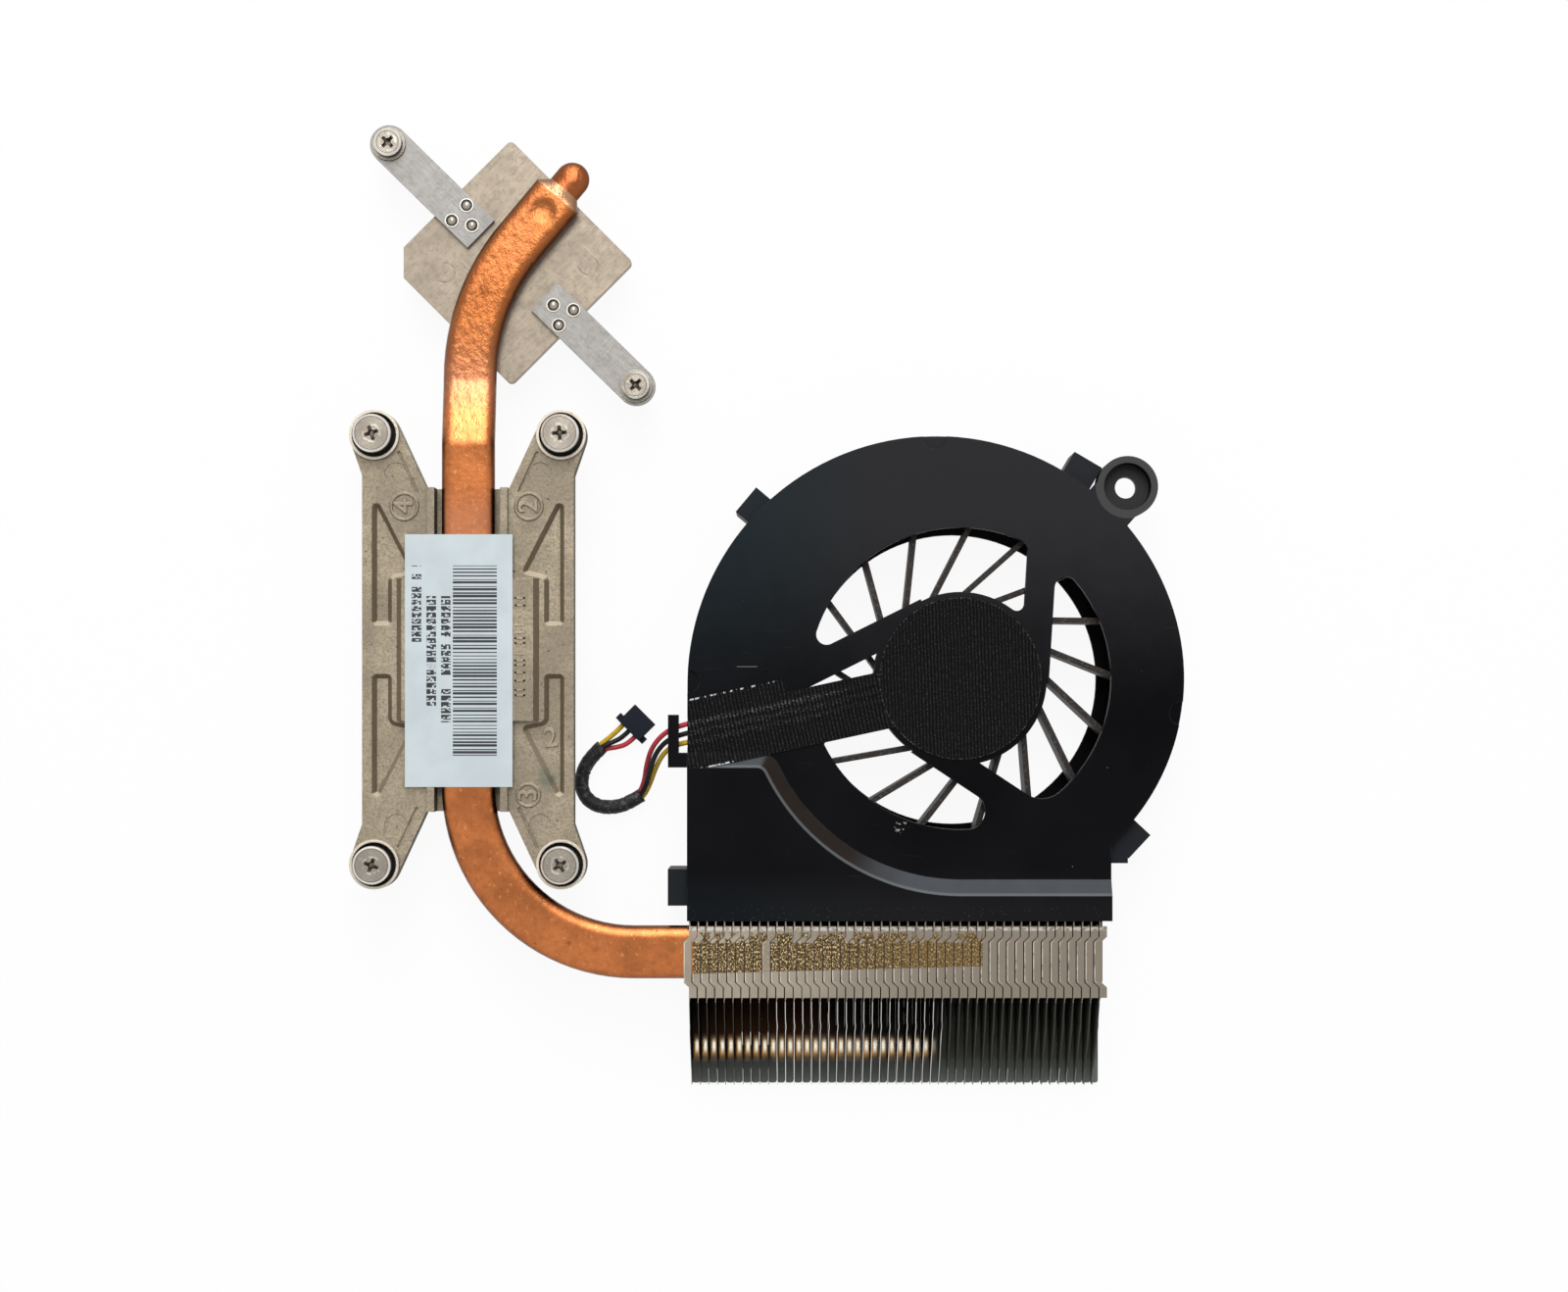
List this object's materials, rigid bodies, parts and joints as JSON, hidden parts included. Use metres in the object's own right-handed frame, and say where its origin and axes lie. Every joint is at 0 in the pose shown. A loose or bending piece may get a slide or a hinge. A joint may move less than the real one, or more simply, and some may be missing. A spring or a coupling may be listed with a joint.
{
  "type": "laptop cooling fan heatsink",
  "caption": "Laptop cooling module: blower fan with an open hub, folded fin stack, flat copper heat pipe, processor bracket on sprung screws and a small graphics plate on leaf arms.",
  "frame": {"origin": "centre of the processor contact face", "axes": "+Z away from the processor, +Y along the bracket towards the graphics plate, +X towards the fan"},
  "size_m": [0.1205, 0.1405, 0.013],
  "materials": {
    "black_plastic": "satin moulded black plastic, fine grain",
    "impeller_plastic": "moulded dark grey-brown plastic",
    "tape": "woven black cloth tape",
    "steel": "nickel plated steel",
    "spring_steel": "bright spring wire",
    "magnet": "dark bonded ferrite",
    "brass": "turned brass",
    "laminations": "varnished laminations",
    "windings": "enamelled copper wire",
    "board": "green glass-fibre board",
    "wire_red": "red insulation",
    "wire_black": "black insulation",
    "wire_yellow": "yellow insulation",
    "sleeve": "dark grey tubing",
    "plug": "black plug body",
    "copper": "dimpled bare copper, darkened in places",
    "cast_alloy": "cast alloy, fine grain, worn edges",
    "fins": "folded sheet, flux stain along the pipe",
    "plate_alloy": "plated sheet, fine scratches",
    "arm_steel": "grey leaf steel",
    "label_paper": "pale label with dark bars"
  },
  "bodies": {
    "module": {"fan_housing": "black_plastic", "fan_cover": "black_plastic", "bearing_holder": "brass", "sleeve_bearing": "brass", "thrust_disc": "black_plastic", "stator_core": "laminations", "stator_coils": "windings", "motor_board": "board", "hub_tape": "tape", "lead_tape": "tape", "taped_leads": "wire_black", "wire_red": "wire_red", "wire_black": "wire_black", "wire_yellow": "wire_yellow", "lead_sleeve": "sleeve", "plug_housing": "plug", "plug_contacts": "steel", "heat_pipe": "copper", "fin_stack": "fins", "cpu_contact_plate": "copper", "cpu_bracket": "cast_alloy", "label": "label_paper", "gpu_plate": "plate_alloy", "gpu_arm_upper": "arm_steel", "gpu_arm_lower": "arm_steel", "arm_rivets": "steel", "cpu_spring_1": "spring_steel", "cpu_spring_2": "spring_steel", "cpu_spring_3": "spring_steel", "cpu_spring_4": "spring_steel"},
    "rotor": {"impeller": "impeller_plastic", "rotor_yoke": "steel", "rotor_magnet": "magnet", "rotor_shaft": "steel"},
    "cpu_screw_1": {"cpu_screw_1": "steel", "cpu_screw_ring_1": "spring_steel"},
    "cpu_screw_2": {"cpu_screw_2": "steel", "cpu_screw_ring_2": "spring_steel"},
    "cpu_screw_3": {"cpu_screw_3": "steel", "cpu_screw_ring_3": "spring_steel"},
    "cpu_screw_4": {"cpu_screw_4": "steel", "cpu_screw_ring_4": "spring_steel"},
    "gpu_screw_upper": {"gpu_screw_upper": "steel", "gpu_screw_ring_upper": "spring_steel"},
    "gpu_screw_lower": {"gpu_screw_lower": "steel", "gpu_screw_ring_lower": "spring_steel"}
  },
  "joints": [
    {"name": "impeller_spin", "type": "hinge", "parent": "module", "child": "rotor", "pos_m": [0.0711, -0.00417, 0], "axis": [0, 0, 1], "continuous": true},
    {"name": "cpu_screw_1_press", "type": "slide", "parent": "module", "child": "cpu_screw_1", "axis": [0, 0, -1], "range_m": [0, 0.002], "stiffness_N_per_m": 600, "deforming": ["cpu_spring_1"]},
    {"name": "cpu_screw_2_press", "type": "slide", "parent": "module", "child": "cpu_screw_2", "axis": [0, 0, -1], "range_m": [0, 0.002], "stiffness_N_per_m": 600, "deforming": ["cpu_spring_2"]},
    {"name": "cpu_screw_3_press", "type": "slide", "parent": "module", "child": "cpu_screw_3", "axis": [0, 0, -1], "range_m": [0, 0.002], "stiffness_N_per_m": 600, "deforming": ["cpu_spring_3"]},
    {"name": "cpu_screw_4_press", "type": "slide", "parent": "module", "child": "cpu_screw_4", "axis": [0, 0, -1], "range_m": [0, 0.002], "stiffness_N_per_m": 600, "deforming": ["cpu_spring_4"]},
    {"name": "gpu_screw_upper_lift", "type": "slide", "parent": "module", "child": "gpu_screw_upper", "axis": [0, 0, 1], "range_m": [0, 0.001]},
    {"name": "gpu_screw_lower_lift", "type": "slide", "parent": "module", "child": "gpu_screw_lower", "axis": [0, 0, 1], "range_m": [0, 0.001]}
  ]
}
